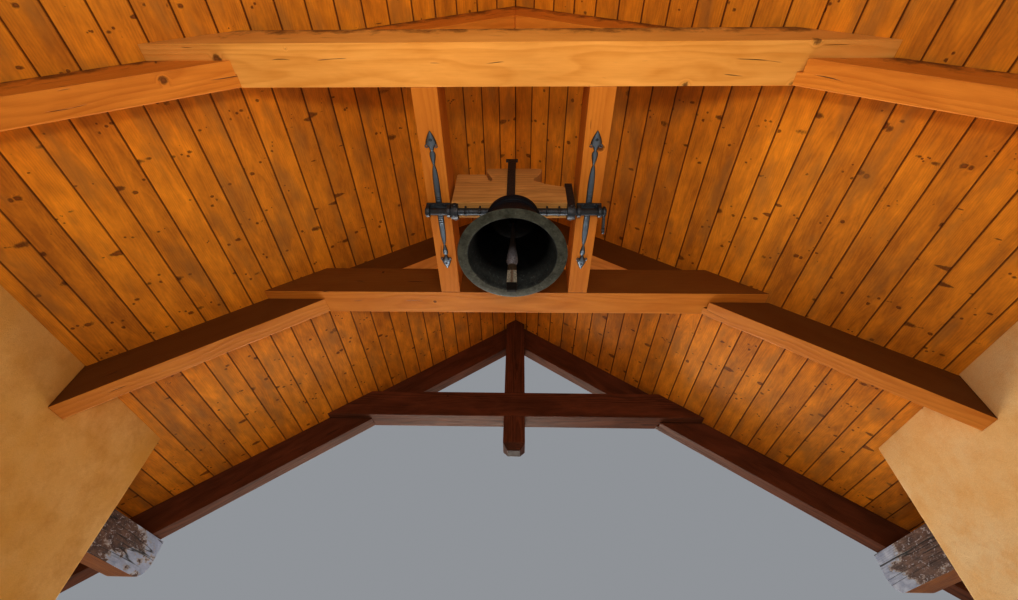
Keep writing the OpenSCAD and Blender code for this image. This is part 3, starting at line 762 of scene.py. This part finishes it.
GROOVE = 0.0045
BOARDS = 32
BOARD_CLEAR = 0.0003
BOARD_SLACK = 0.0008
BOARD_UNEVEN = 0.0006
roof_place = Matrix.Translation((0, 0, SOFFIT_APEX)) @ Matrix.Rotation(PITCH, 4, "Y")

board = block("boards_right", (0, -ROOF_END_Y, BOARD_CLEAR), (BOARD_COVER, ROOF_END_Y, BOARD_T - BOARD_SLACK))
shape(board, ("EDGE", lambda e: along(e, 1) and middle(e).z < BOARD_T / 2, "bevel",
              dict(offset=GROOVE, segments=2, affect="EDGES")))
board_verts = len(board.data.vertices)
repeated(board, BOARDS, (BOARD_COVER, 0, 0))
places = islands(board, board_verts)
places[:, :, 2] += rng.uniform(0, BOARD_UNEVEN, (BOARDS, 1))
places[:, :, 0] -= BOARD_COVER
put_places(board, places)
board.data.transform(roof_place)
cut(board, (EAVES_X, 0, 0), (1, 0, 0))
cut(board, (0, 0, 0), (-1, 0, 0))
boards_left = other_side(board, "boards_left")
fit(board, soffit_boards, "canopy", "soffit_boards", "boarding_right")
fit(boards_left, soffit_boards, "canopy", "soffit_boards", "boarding_left")

# Plain clay tiles in double lap on battens, between the verge boards

LAY_Y = ROOF_END_Y - 0.001
COURSES = 36
COLUMNS = 26
TILE_GAP = 0.0006
TILE_CAMBER = 0.003
TILE_SLIP = 0.0015
TILE_SINK = 0.0008
FIRST_COURSE = 0.12
COURSE_SHIFT = 0.01
RIDGE_GAP = 0.012
tile_place = roof_place @ Matrix.Translation((0, 0, BOARD_T))

tile = block("tiles_right", (0, TILE_GAP, 0), (TILE_L, TILE_W - TILE_GAP, TILE_T))
shape(tile,
      ("EDGE", lambda e: along(e, 0), "subdivide", dict(number_cuts=2)),
      ("EDGE", lambda e: along(e, 1) and middle(e).x > TILE_L - 0.001 and middle(e).z > TILE_T / 2, "bevel",
       dict(offset=0.004, segments=1, affect="EDGES")))
for v in tile.data.vertices:
    camber = TILE_CAMBER * (1 - ((v.co.x / TILE_L) * 2 - 1) ** 2)
    v.co.z += camber + v.co.x * TILE_T / TILE_GAUGE + BATTEN_H
tile_verts = len(tile.data.vertices)
repeated(tile, COLUMNS, (0, TILE_W, 0))
repeated(tile, COURSES, (TILE_GAUGE, 0, 0))
places = islands(tile, tile_verts).reshape(COURSES, COLUMNS, tile_verts, 3)
places[:, :, :, 0] -= FIRST_COURSE
places[:, :, :, 1] -= COLUMNS / 2 * TILE_W
places[1::2, :, :, 1] += TILE_W / 2
places[0::2, :, :, 1] += COURSE_SHIFT
places[:, :, :, 0] += rng.uniform(-TILE_SLIP, TILE_SLIP, (COURSES, COLUMNS, 1))
places[:, :, :, 2] += rng.uniform(-TILE_SINK, 0.0, (COURSES, COLUMNS, 1))
put_places(tile, places)
tile.data.transform(tile_place)
cut(tile, (COVERING_X, 0, 0), (1, 0, 0))
cut(tile, (RIDGE_GAP, 0, 0), (-1, 0, 0))
cut(tile, (0, LAY_Y, 0), (0, 1, 0))
cut(tile, (0, -LAY_Y, 0), (0, -1, 0))

BATTENS = 35
BATTEN_W = 0.038
BATTEN_CLEAR = 0.0005
FIRST_BATTEN = 0.03
FILLET_AT = 3.43
FILLET_W = 0.07
FILLET_H = 0.034

batten = block("battens_right", (0, -LAY_Y, BATTEN_CLEAR), (BATTEN_W, LAY_Y, BATTEN_H - BATTEN_CLEAR))
repeated(batten, BATTENS, (TILE_GAUGE, 0, 0))
for v in batten.data.vertices:
    v.co.x += FIRST_BATTEN
fillet = block("fillet", (FILLET_AT, -LAY_Y, BATTEN_CLEAR), (FILLET_AT + FILLET_W, LAY_Y, FILLET_H))
batten = joined("battens_right", batten, fillet)
batten.data.transform(tile_place)
cut(batten, (COVERING_X - 0.01, 0, 0), (1, 0, 0))

for piece, given, replaced in ((tile, clay_tiles, ["roofing"]), (batten, sawn_battens, [])):
    twin = other_side(piece, piece.name.replace("right", "left"))
    for made, side in ((piece, "right"), (twin, "left")):
        fit(made, given, "canopy", "roof_tiles", *(f"{node}_{side}" for node in replaced))

# Half-round ridge tiles bedded in mortar

RIDGE_R = 0.115
RIDGE_T = 0.018
RIDGE_TILES = 9
RIDGE_JOINT = 0.006
RIDGE_RIM = 0.004
BED_BACK = 0.004
BED_RIM = 0.014
covering_apex = SOFFIT_APEX + (BOARD_T + COVERING_T) * RISE
ridge_axis = covering_apex - math.tan(PITCH) * RIDGE_R
ridge_length = 2 * ROOF_END_Y / RIDGE_TILES
along_y = (math.pi / 2, 0, 0)
along_x = (0, math.pi / 2, 0)

ridge = start("cylinder", "ridge_tiles_laid", vertices=48, radius=RIDGE_R, depth=ridge_length - RIDGE_JOINT,
              end_fill_type="NOTHING", rotation=along_y,
              location=(0, -ROOF_END_Y + ridge_length / 2, ridge_axis))
shape(ridge, ("FACE", everything, "bisect",
              dict(plane_co=(0, 0, ridge_axis + RIDGE_RIM), plane_no=(0, 0, -1), clear_outer=True)))
modify(ridge, "SOLIDIFY", thickness=RIDGE_T, offset=-1)
rounded(ridge, 0.003, 40)
repeated(ridge, RIDGE_TILES, (0, ridge_length, 0))
smooth(ridge)
fit(ridge, clay_tiles, "canopy", "roof_tiles", "ridge_tiles")

bed = start("cylinder", "ridge_mortar", vertices=48, radius=RIDGE_R - BED_BACK,
            depth=2 * (ROOF_END_Y - RIDGE_JOINT), rotation=along_y, location=(0, 0, ridge_axis))
cut(bed, (0, 0, ridge_axis + BED_RIM), (0, 0, -1))
smooth(bed)
fit(bed, lime_mortar, "canopy", "roof_tiles")

# Yoke with carved shoulders: the raised middle hangs over a round hollow on each side

yoke_outline = [
    (-0.278, 3.376), (-0.278, 3.636), (-0.273, 3.641), (-0.144, 3.641), (-0.138, 3.636), (-0.126, 3.601),
    (-0.123, 3.586), (-0.117, 3.577), (-0.108, 3.578), (-0.104, 3.588), (-0.106, 3.600), (-0.116, 3.622),
    (-0.128, 3.652), (-0.136, 3.672), (-0.139, 3.688), (-0.136, 3.697), (-0.128, 3.702), (-0.060, 3.703),
    (0.060, 3.703), (0.128, 3.702), (0.136, 3.697), (0.139, 3.688), (0.136, 3.672), (0.128, 3.652),
    (0.114, 3.622), (0.100, 3.603), (0.095, 3.590), (0.098, 3.577), (0.108, 3.570), (0.124, 3.566),
    (0.136, 3.558), (0.146, 3.549), (0.234, 3.520), (0.240, 3.514), (0.240, 3.376)]
yoke = slab("yoke_carved", yoke_outline, -0.040, 0.040)
rounded(yoke, 0.0025, SHARP)
fit(yoke, oak, "bell", "yoke_timber", "yoke")

# Domed bolt heads on the bearing plates, the straps' ends and the gudgeons' end blocks

BOLT_R = 0.0085
BOLT_T = 0.0050
PLATE_Z = 3.3862
STRAP_BOLT_Y = 0.318
STRAP_BOLT_Z = COLLAR_Z - 0.0055
BLOCK_FACE_Y = 0.0345
face_down = Matrix.Rotation(math.pi, 4, "X")
face_rear = Matrix.Rotation(math.pi / 2, 4, "X")
half_turn = Matrix.Rotation(math.pi, 4, "Z")

bolt = turned("bolt_head", [(0, 0), (BOLT_R, 0), (BOLT_R, BOLT_T * 0.35), (BOLT_R * 0.85, BOLT_T * 0.7),
                            (BOLT_R * 0.5, BOLT_T * 0.95), (0, BOLT_T)], 16, 60)
plate_bolts = [Matrix.Translation((sx * BEARER_X + dx, dy, PLATE_Z)) @ face_down
               for sx in (-1, 1) for dx in (-0.026, 0.026) for dy in (-0.021, 0.021)]
strap_bolts = [
    Matrix.Translation((sx * BEARER_X, sy * STRAP_BOLT_Y, STRAP_BOLT_Z)) @ face_down @ Matrix.Scale(0.8, 4)
    for sx in (-1, 1) for sy in (-1, 1)]
bolts = [put(copied(bolt, "head"), place) for place in plate_bolts + strap_bolts]
fit(joined("bolt_heads_canopy", *bolts), wrought_iron, "canopy", "wrought_iron")

block_bolts = []
for x in (-0.263, 0.257):
    large = Matrix.Translation((x, -BLOCK_FACE_Y, GUDGEON_Z)) @ face_rear @ Matrix.Scale(1.35, 4)
    for place in (large, half_turn @ Matrix.Translation((-2 * x, 0, 0)) @ large):
        block_bolts.append(put(copied(bolt, "head"), place))
bpy.data.objects.remove(bolt)

# Staples that hold the gudgeons to the yoke

STAPLE_R = 0.0195
STAPLE_BAR_R = 0.0045
STAPLE_LEG = 0.012

staples = []
for x in (-0.215, -0.150, 0.150, 0.205):
    centre = (x, 0, GUDGEON_Z)
    staples.append(bent_bar("staple", centre, STAPLE_R, STAPLE_BAR_R, -math.pi, math.pi, (1, 0, 0)))
    for sy in (-1, 1):
        staples.append(start("cylinder", "leg", vertices=10, radius=STAPLE_BAR_R, depth=STAPLE_LEG,
                             location=(x, sy * STAPLE_R, GUDGEON_Z + STAPLE_LEG / 2)))
fit(joined("yoke_fastenings", *block_bolts, *staples), wrought_iron, "bell", "wrought_iron")

# Ornamental straps, forged with a rounded face

STRAP_L = 0.710
STRAP_BACK_Z = COLLAR_Z - 0.0002
SPINDLE_Y = 0.09
SPINDLE_W = 0.028
NECK_Y = 0.205
NECK_W = 0.007
BEAD_W = 0.026
LEAF_Y = 0.270
LEAF_W = 0.045
BARB_Y = 0.300
RIBS_FROM_Y = 0.030
RIBS_TO_Y = 0.085
RIB_STEP = 0.0115
TIP = 0.0006
SPINDLE_STATIONS = 86
SPINDLE_STEP = 0.0023
LEAF_STATIONS = 97
LEAF_STEP = 0.0016
CURL_R = 0.0058
CURL_BAR_R = 0.0023


def strap_half_width(y):
    """Half width of the strap at a distance from its middle: a spindle, a drop-shaped bead, a spearhead."""
    if y < NECK_Y:
        t = max(0.0, (y - SPINDLE_Y) / (NECK_Y - SPINDLE_Y))
        return NECK_W / 2 + (SPINDLE_W - NECK_W) / 2 * (1 - t ** 2.4) ** 0.6
    if y < LEAF_Y:
        t = (y - NECK_Y) / (LEAF_Y - NECK_Y)
        swell = math.sin(math.pi * min(1.0, 0.60 * t + 0.02)) ** 1.3
        return NECK_W / 2 + (BEAD_W - NECK_W) / 2 * swell * (1 - t ** 12)
    if y < BARB_Y:
        t = (y - LEAF_Y) / (BARB_Y - LEAF_Y)
        return NECK_W / 2 + (LEAF_W - NECK_W) / 2 * (0.45 * t ** 0.4 + 0.55 * t ** 3)
    return LEAF_W / 2 * (1 - ((y - BARB_Y) / (STRAP_L / 2 - BARB_Y)) ** 1.5) + TIP


def strap_depth(y):
    """How far the strap's rounded face stands down from the bearer: ribs by the bearing, a bead, a domed
    leaf."""
    if y < NECK_Y:
        ribbed = RIBS_FROM_Y < y < RIBS_TO_Y
        return 0.0044 + (0.0018 * (0.5 + 0.5 * math.cos(2 * math.pi * y / RIB_STEP)) if ribbed else 0.0)
    if y < LEAF_Y:
        return 0.0036 + 0.0040 * math.sin(math.pi * (y - NECK_Y) / (LEAF_Y - NECK_Y)) ** 2
    t = (y - LEAF_Y) / (STRAP_L / 2 - LEAF_Y)
    return 0.0036 + 0.0055 * math.sin(math.pi * t ** 0.6) - 0.0016 * t ** 4


strap = start("circle", "strap_forged_right", vertices=16, radius=1, fill_type="NGON", rotation=along_y)
cut(strap, (0, 0, 0), (0, 0, 1))
put(strap, Matrix.Diagonal((strap_half_width(0), 1, strap_depth(0), 1)),
    Matrix.Translation((BEARER_X, 0, STRAP_BACK_Z)))
stations = [i * SPINDLE_STEP for i in range(1, SPINDLE_STATIONS + 1)]
stations += [0.199 + i * LEAF_STEP for i in range(1, LEAF_STATIONS + 1)]
stations.append(STRAP_L / 2 - TIP)
bpy.ops.object.mode_set(mode="EDIT")
bpy.ops.mesh.select_mode(type="FACE")
bpy.ops.mesh.select_all(action="SELECT")
near = 0.0
for far in stations:
    wider = strap_half_width(far) / strap_half_width(near)
    deeper = strap_depth(far) / strap_depth(near)
    bpy.ops.mesh.extrude_region_move(TRANSFORM_OT_translate={"value": (0, far - near, 0)})
    bpy.ops.transform.resize(value=(wider, 1, deeper), center_override=(BEARER_X, far, STRAP_BACK_Z))
    near = far
bpy.ops.object.mode_set(mode="OBJECT")
shape(strap, ("FACE", lambda f: f.calc_center_median().y < MERGE / 2, "delete", dict(type="FACE")))
modify(strap, "MIRROR", use_axis=(False, True, False), use_mirror_merge=True, merge_threshold=MERGE)
shape(strap, FACE_OUTWARDS)
smooth(strap, 40)
curls = []
for sy in (-1, 1):
    for sx in (-1, 1):
        place = (BEARER_X + sx * 0.0195, sy * (BARB_Y - 0.0085), COLLAR_Z - 0.0030)
        curls.append(bent_bar("curl", place, CURL_R, CURL_BAR_R, 0.0, 1.8 * math.pi, (0, 0, 1)))
strap = joined("strap_forged_right", strap, *curls)
strap_left = other_side(strap, "strap_forged_left")
fit(strap, strap_iron, "canopy", "wrought_iron", "strap_right")
fit(strap_left, strap_iron, "canopy", "wrought_iron", "strap_left")

# Bell: one closed section with cast moulding wires, spun round, and a crown with two lugs and a pin

BELL_STEPS = 160
HEAD_STEPS = 12
INNER_STEPS = 40
CROWN_Z = 3.334
CROWN_X = 0.029
CROWN_Y = 0.040
LUG_R = 0.012
PIN_R = 0.0058
WIRES = ((0.10, 0.012, 0.003), (0.135, 0.012, 0.003),
         (0.80, 0.014, 0.003), (0.86, 0.014, 0.004), (0.92, 0.014, 0.003))


def bell_out(u):
    """Outer radius at a share of the height over the mouth."""
    return SHOULDER_R + (MOUTH_R - SHOULDER_R) * (1 - u) ** 2.2


def bell_in(u):
    """Inner radius at a share of the height: a thin wall that thickens to the lip."""
    return bell_out(u) - BELL_WALL - (LIP_T - BELL_WALL) * (1 - u) ** 6


def wires(u):
    """How proud a wire stands at a share of the height."""
    return sum(proud * max(0.0, 1 - ((u - place) / half) ** 2) ** 0.5 for place, half, proud in WIRES)


def dome(thickness, i):
    """A point of the bell's head, or of its hollow where the metal's thickness is taken off."""
    a = math.pi / 2 * i / HEAD_STEPS
    return (SHOULDER_R - thickness) * math.cos(a), BELL_H + (HEAD_H - thickness) * math.sin(a)


section = [(bell_out(i / BELL_STEPS) + wires(i / BELL_STEPS), BELL_H * i / BELL_STEPS)
           for i in range(3, BELL_STEPS + 1)]
section += [dome(0, i) for i in range(1, HEAD_STEPS + 1)]
section += [dome(BELL_WALL, i) for i in range(HEAD_STEPS, 0, -1)]
section += [(bell_in(i / INNER_STEPS), BELL_H * i / INNER_STEPS) for i in range(INNER_STEPS, 0, -1)]
section += [(MOUTH_R - LIP_T + 0.001, 0.003), (MOUTH_R - LIP_T + 0.004, 0.0), (MOUTH_R - 0.006, 0.0),
            (MOUTH_R - 0.001, 0.002), section[0]]
bell = turned("bell_cast", [(max(r, 0.0), MOUTH_Z + z) for r, z in section], 96)

crown = block("crown", (-CROWN_X, -CROWN_Y, CROWN_Z), (CROWN_X, CROWN_Y, YOKE_Z))
shape(crown, ("EDGE", everything, "bevel", dict(offset=0.004, segments=2, affect="EDGES")))
lugs = []
for low_x, high_x in ((-0.018, -0.010), (0.010, 0.018)):
    lug = block("lug", (low_x, -LUG_R, PIVOT_Z - LUG_R), (high_x, LUG_R, CROWN_Z))
    lugs.append(shape(lug, ("EDGE", lambda e: along(e, 0) and middle(e).z < PIVOT_Z, "bevel",
                            dict(offset=LUG_R - 0.001, segments=5, affect="EDGES"))))
pin = start("cylinder", "pin", vertices=24, radius=PIN_R, depth=0.040, rotation=along_x,
            location=(0, 0, PIVOT_Z))
bell = joined("bell_cast", bell, crown, pin, *lugs)
fit(bell, bell_bronze, "bell", "bell_bronze", "bell")

# Painted shade on the bell's inside: near-black bronze on faces that turn to its axis or lie under its head
bell.data.materials.append(bell_inner_shade)
for face in bell.data.polygons:
    out = Vector((face.center.x, face.center.y, 0)).normalized()
    under_dome = face.center.z > MOUTH_Z + BELL_H - 0.03 and face.normal.z < -0.5
    if face.normal.dot(out) < -0.05 or under_dome:
        face.material_index = 1

# Clapper: eye, shaft that swells to a club, flat joint, and a flat flight

JOINT_WIDER = 1.2
FLIGHT_X = 0.019
FLIGHT_Y = 0.006
EYE_R = 0.0110
EYE_BAR_R = 0.0044

clapper_section = [
    (0.0, 0.235), (0.0062, 0.234), (0.0076, 0.205), (0.0090, 0.160), (0.0115, 0.110), (0.0145, 0.072),
    (0.0180, 0.040), (0.0207, 0.018), (0.0220, 0.0), (0.0205, -0.0120), (0.0170, -0.0210),
    (0.0125, -0.0300), (0.0092, -0.0380), (0.0072, -0.0425), (0.0080, -0.0480), (0.0080, -0.0710),
    (0.0070, -0.0770), (0.0, -0.0780), (0.0, 0.235)]
clapper = turned("clapper_forged", [(r, BALL_Z + z) for r, z in clapper_section], 32, 50)
for v in clapper.data.vertices:
    v.co.x *= 1 + JOINT_WIDER * min(1.0, max(0.0, BALL_Z - v.co.z) / 0.045) ** 1.8
flight = block("flight", (-FLIGHT_X, -FLIGHT_Y, FLIGHT_END_Z), (FLIGHT_X, FLIGHT_Y, JOINT_END_Z + 0.002))
shape(flight, ("EDGE", lambda e: along(e, 2), "subdivide", dict(number_cuts=7)))
for v in flight.data.vertices:
    way_down = (JOINT_END_Z - v.co.z) / (JOINT_END_Z - FLIGHT_END_Z)
    v.co.x *= 0.92 + 0.08 * math.sin(math.pi * min(1.0, max(0.0, way_down)))
shape(flight, ("EDGE", lambda e: along(e, 0) or abs(middle(e).x) > 0.005, "bevel",
               dict(offset=0.0018, segments=2, affect="EDGES")))
eye = start("torus", "eye", major_radius=EYE_R, minor_radius=EYE_BAR_R, major_segments=32, minor_segments=12,
            rotation=along_x, location=(0, 0, PIVOT_Z))
clapper = joined("clapper_forged", clapper, flight, eye)
fit(clapper, rubbed_iron, "clapper", "wrought_iron", "clapper")

# Floor

floor = start("plane", "floor", size=60, location=(0, 0, -0.0005))
floor.data.materials.append(pale_floor())


# Light

def lamp(name, place, aim, size, power, tint, spread=180):
    """A soft square light that isn't seen itself. A narrow spread, in degrees, keeps it off the floor."""
    data = bpy.data.lights.new(name, "AREA")
    data.shape = "SQUARE"
    data.size = size
    data.energy = power
    data.color = colour(tint)[:3]
    data.spread = math.radians(spread)
    made = bpy.data.objects.new(name, data)
    bpy.context.scene.collection.objects.link(made)
    made.location = place
    made.rotation_euler = (Vector(aim) - Vector(place)).to_track_quat("-Z", "Y").to_euler()
    made.visible_camera = False


lamp("front_softbox", (-0.8, 8.0, 2.1), (0.0, 0.4, 3.4), 4.0, 142, "#fff6e8", 75)
lamp("rear_softbox", (0.0, -1.66, 1.26), (0.0, -0.2, 4.0), 0.25, 23, "#fff4e6")
lamp("gable_softbox", (0.0, -1.5, 2.7), (0.0, -0.6, 3.6), 0.5, 5.4, "#fff0dc")
lamp("high_left_softbox", (-6.0, -3.0, 12.0), (0, 0, 2.4), 5.0, 670, "#fff6ea")
lamp("high_right_softbox", (7.0, 3.0, 11.0), (0, 0, 2.4), 5.0, 500, "#eef2ff")

scene = bpy.context.scene
world = bpy.data.worlds.new("pale_studio")
world.use_nodes = True
sky = world.node_tree.nodes["Background"]
sky.inputs["Color"].default_value = colour("#e4e8ee")
sky.inputs["Strength"].default_value = 0.455
scene.world = world

# The photo's contrast is higher than the standard view gives
scene.view_settings.view_transform = "Standard"
scene.view_settings.gamma = 0.8

# Camera at the photo's place and angle, from a fit to its edges

CAMERA_PLACE = (0.0262, -1.0747, 1.6302)
FOCAL_PIXELS = 445.445
FRAME_WIDTH = 1018
SENSOR = 36.0
UP, YAW, ROLL = (math.radians(a) for a in (47.000, -1.833, 1.724))

forward = Vector((math.sin(YAW) * math.cos(UP), math.cos(YAW) * math.cos(UP), math.sin(UP)))
level = Vector((math.cos(YAW), -math.sin(YAW), 0))
upward = level.cross(forward)
camera_x = math.cos(ROLL) * level + math.sin(ROLL) * upward
camera_y = math.cos(ROLL) * upward - math.sin(ROLL) * level
camera_data = bpy.data.cameras.new("photo_view")
camera_data.sensor_width = SENSOR
camera_data.lens = SENSOR * FOCAL_PIXELS / FRAME_WIDTH
camera_data.clip_start = 0.02
camera = bpy.data.objects.new("photo_view", camera_data)
scene.collection.objects.link(camera)
camera.matrix_world = Matrix.Translation(CAMERA_PLACE) @ Matrix(
    (camera_x, camera_y, -forward)).transposed().to_4x4()
scene.camera = camera
